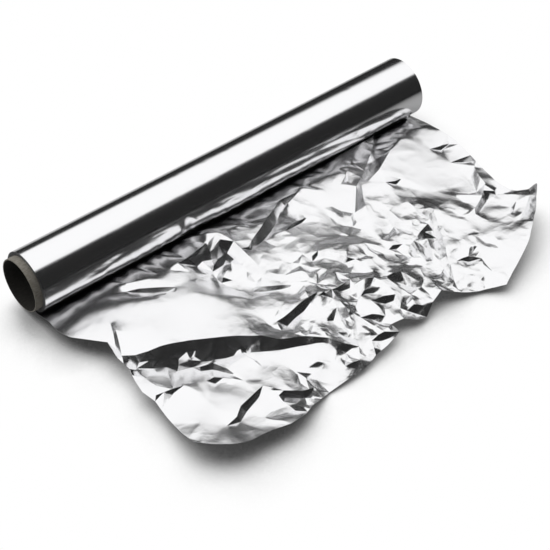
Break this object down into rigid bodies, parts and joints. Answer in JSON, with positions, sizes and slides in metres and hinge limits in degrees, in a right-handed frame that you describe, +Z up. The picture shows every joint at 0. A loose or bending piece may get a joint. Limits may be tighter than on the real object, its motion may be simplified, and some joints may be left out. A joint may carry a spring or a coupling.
{
  "type": "aluminium foil roll",
  "caption": "Roll of household aluminium foil on a paperboard core, lying on its side with a crumpled length of foil pulled out in front.",
  "frame": {"origin": "on the table under the middle of the roll, where the last turn runs off flat", "axes": "+X along the roll's axis, +Z up, and the loose foil lies out towards -Y"},
  "size_m": [0.305, 0.1957, 0.0395],
  "materials": {
    "core_board": "matte grey-brown paperboard",
    "foil": "bright on the roll's outside, satin on the upper side of the loose sheet"
  },
  "bodies": {
    "root": {"core_tube": "core_board", "foil": "foil"}
  },
  "joints": []
}
